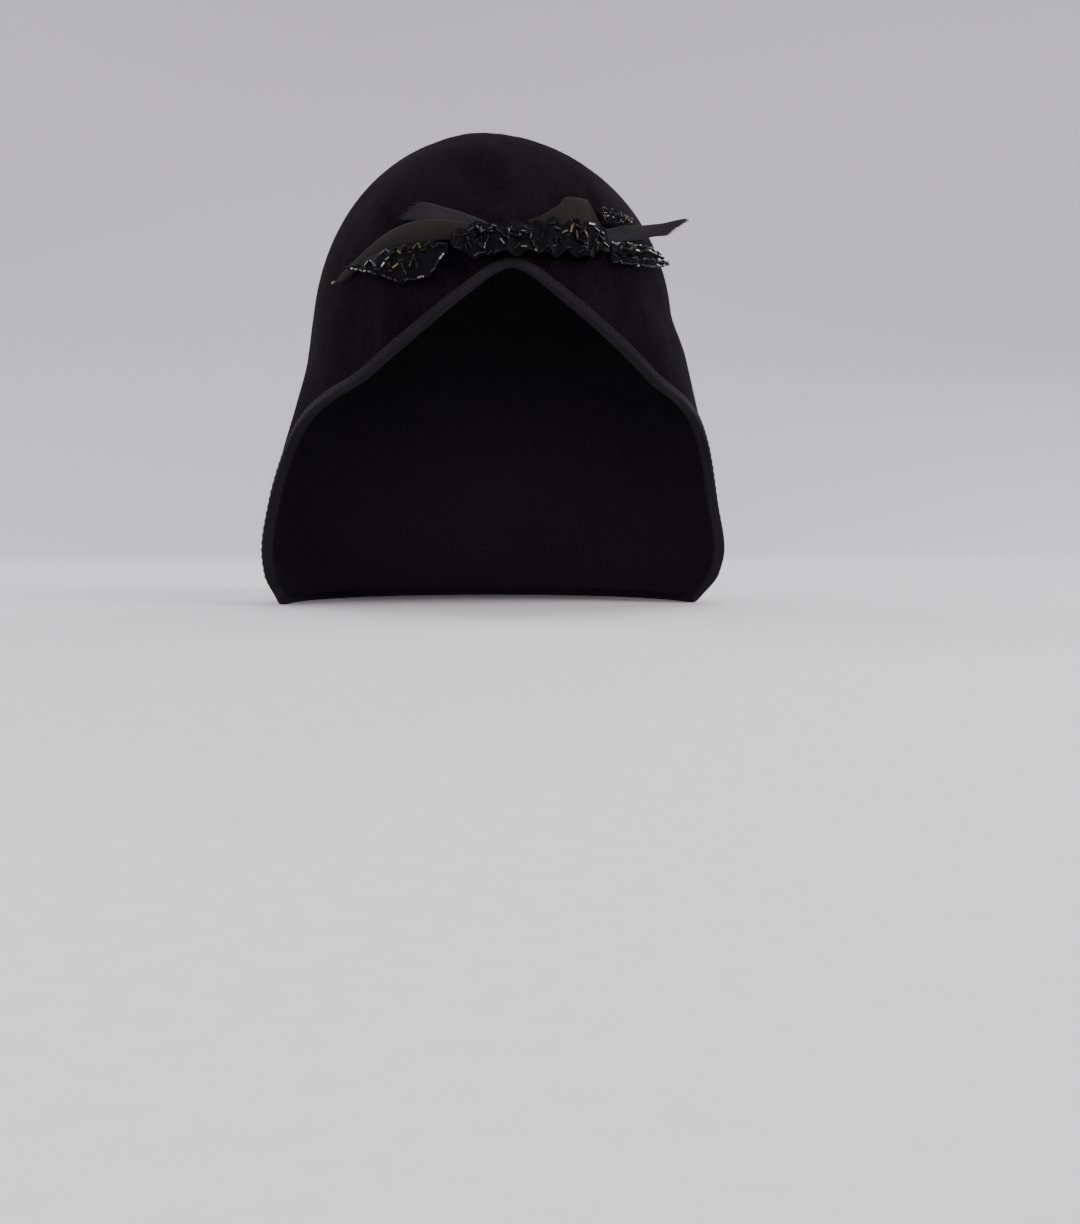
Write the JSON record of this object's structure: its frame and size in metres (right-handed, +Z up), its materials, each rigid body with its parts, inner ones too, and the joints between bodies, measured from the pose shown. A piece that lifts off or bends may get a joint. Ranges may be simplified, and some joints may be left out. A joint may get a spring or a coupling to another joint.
{
  "type": "cloche hat",
  "caption": "Black felt cloche hat with a peaked front, flared side lobes, a bound rim and a flat trim of ribbon tails and beaded leaves.",
  "frame": {"origin": "on the surface the hat stands on, under the middle of its overall box", "axes": "+Z up through the crown, -Y the way the face opening looks, +X to the right of somebody facing the hat"},
  "size_m": [0.1942, 0.202, 0.1945],
  "materials": {
    "felt": "black velour fur felt with a soft nap",
    "binding": "charcoal bound edge, matte",
    "ribbon": "charcoal grosgrain ribbon, finely ribbed",
    "beaded_gauze": "black gauze set with glossy black bugle beads"
  },
  "bodies": {
    "root": {"felt_body": "felt", "edge_binding": "binding", "ribbon_tail_left": "ribbon", "ribbon_point_left": "ribbon", "ribbon_loop_right": "ribbon", "ribbon_tail_right": "ribbon", "beaded_leaf_left": "beaded_gauze", "beaded_ruffle": "beaded_gauze", "beaded_leaf_upper": "beaded_gauze", "beaded_leaf_middle": "beaded_gauze", "beaded_leaf_lower": "beaded_gauze"}
  },
  "joints": []
}
